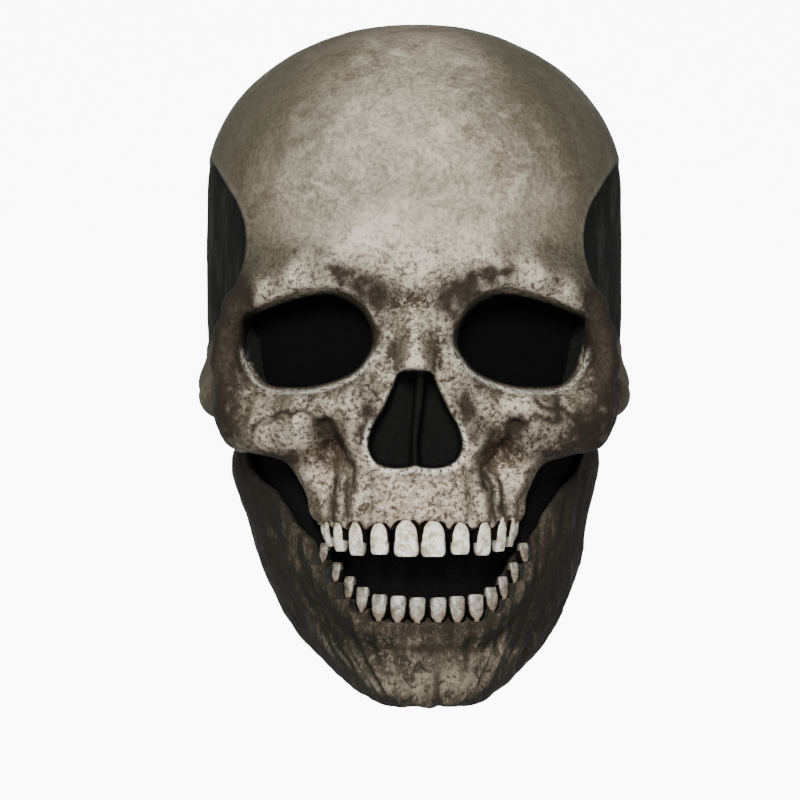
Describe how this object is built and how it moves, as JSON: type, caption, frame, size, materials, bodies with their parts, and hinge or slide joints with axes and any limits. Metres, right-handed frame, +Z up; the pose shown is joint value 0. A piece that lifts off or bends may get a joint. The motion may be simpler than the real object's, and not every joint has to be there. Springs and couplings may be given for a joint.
{
  "type": "skull mask",
  "caption": "Full-head skull mask of soft latex with an open mouth, single teeth, mesh eye screens and a black cloth behind the teeth.",
  "frame": {"origin": "inner face of the crown, at the point that rests on the top of the wearer's head", "axes": "+Z up, the face looks along -Y, +X to the wearer's left"},
  "size_m": [0.1866, 0.2315, 0.2973],
  "materials": {
    "bone_latex": "matt painted latex, bone grey with dark lines and cracks",
    "jaw_latex": "matt painted latex, browner and darker than the head",
    "tooth_enamel": "ivory paint with a slight shine and dark outlines",
    "black_cloth": "black stretch cloth",
    "eye_mesh": "fine dark grey mesh to see through"
  },
  "bodies": {
    "root": {"skull_shell": "bone_latex", "jaw_shell": "jaw_latex", "mouth_cloth": "black_cloth", "eye_screen_left": "eye_mesh", "eye_screen_right": "eye_mesh", "upper_tooth_left_1": "tooth_enamel", "upper_tooth_left_2": "tooth_enamel", "upper_tooth_left_3": "tooth_enamel", "upper_tooth_left_4": "tooth_enamel", "upper_tooth_left_5": "tooth_enamel", "upper_tooth_left_6": "tooth_enamel", "upper_tooth_right_1": "tooth_enamel", "upper_tooth_right_2": "tooth_enamel", "upper_tooth_right_3": "tooth_enamel", "upper_tooth_right_4": "tooth_enamel", "upper_tooth_right_5": "tooth_enamel", "upper_tooth_right_6": "tooth_enamel", "lower_tooth_left_1": "tooth_enamel", "lower_tooth_left_2": "tooth_enamel", "lower_tooth_left_3": "tooth_enamel", "lower_tooth_left_4": "tooth_enamel", "lower_tooth_left_5": "tooth_enamel", "lower_tooth_left_6": "tooth_enamel", "lower_tooth_left_7": "tooth_enamel", "lower_tooth_right_1": "tooth_enamel", "lower_tooth_right_2": "tooth_enamel", "lower_tooth_right_3": "tooth_enamel", "lower_tooth_right_4": "tooth_enamel", "lower_tooth_right_5": "tooth_enamel", "lower_tooth_right_6": "tooth_enamel", "lower_tooth_right_7": "tooth_enamel"}
  },
  "joints": []
}
